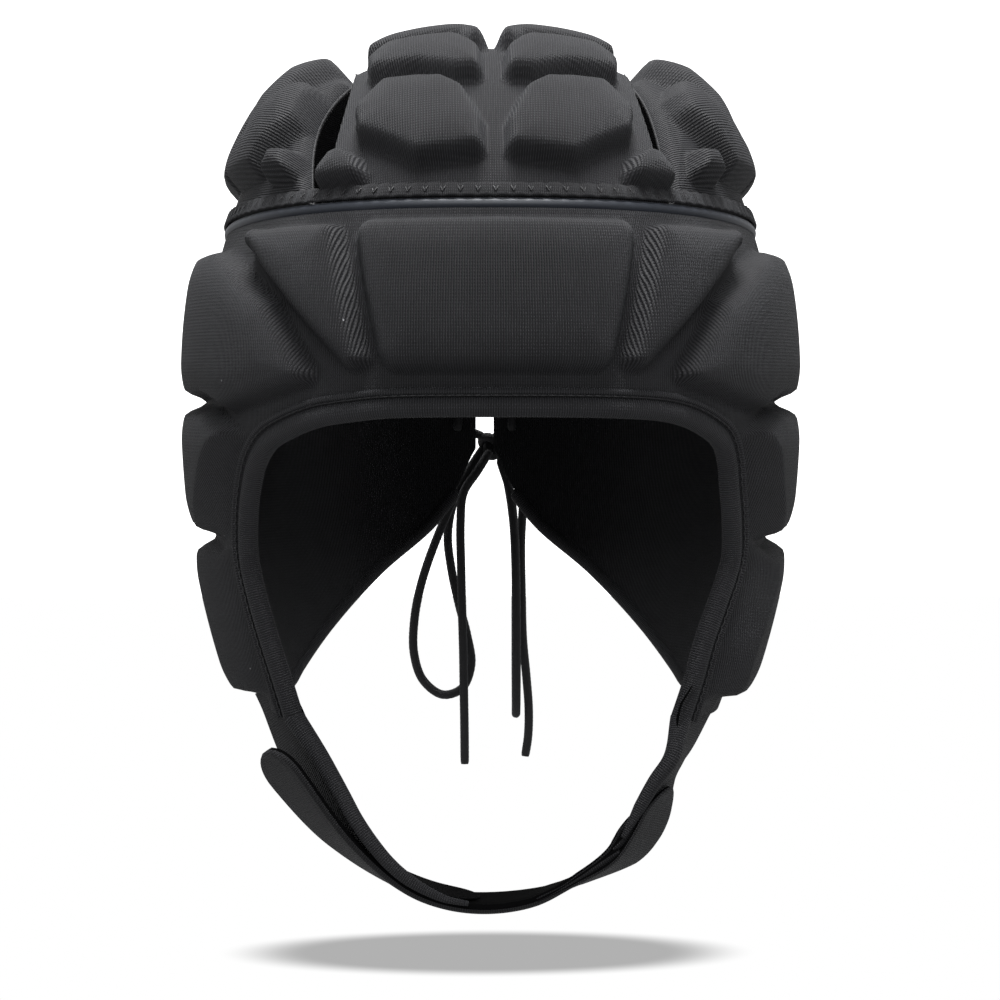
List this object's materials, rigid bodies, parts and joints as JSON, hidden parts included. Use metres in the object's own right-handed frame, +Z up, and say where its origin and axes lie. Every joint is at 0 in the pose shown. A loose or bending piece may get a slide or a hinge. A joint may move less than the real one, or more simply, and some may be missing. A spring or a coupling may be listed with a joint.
{
  "type": "padded scrum cap",
  "caption": "Soft padded headguard with raised foam pads, a face opening, ear holes, a hook-and-loop chin strap and a laced slit at the back.",
  "frame": {"origin": "inside of the crown's highest point, where the cap sits on the head", "axes": "+X to the wearer's left, +Y to the back of the head, +Z up"},
  "size_m": [0.1846, 0.2268, 0.2577],
  "materials": {
    "knit": "charcoal black ribbed knit laminated to foam",
    "tape": "flat woven seam tape with zigzag stitching",
    "piping": "smooth covered cord with a slight blue cast",
    "binding": "ribbed knit rolled over foam and stitched down",
    "strap": "ribbed knit over thin foam, hook-and-loop where the ends meet",
    "lace": "round braided cord"
  },
  "bodies": {
    "root": {"crown_centre": "knit", "crown_left": "knit", "crown_right": "knit", "lower_shell": "knit", "seam_tape": "tape", "piping": "piping", "face_binding": "binding", "neck_binding_left": "binding", "neck_binding_right": "binding", "cheek_strap_left": "strap", "cheek_strap_right": "strap", "chin_strap": "strap", "lace_left": "lace", "lace_right": "lace", "lace_knot": "lace", "lace_loop_left": "lace", "lace_loop_right": "lace", "lace_tail_left": "lace", "lace_tail_right": "lace"}
  },
  "joints": []
}
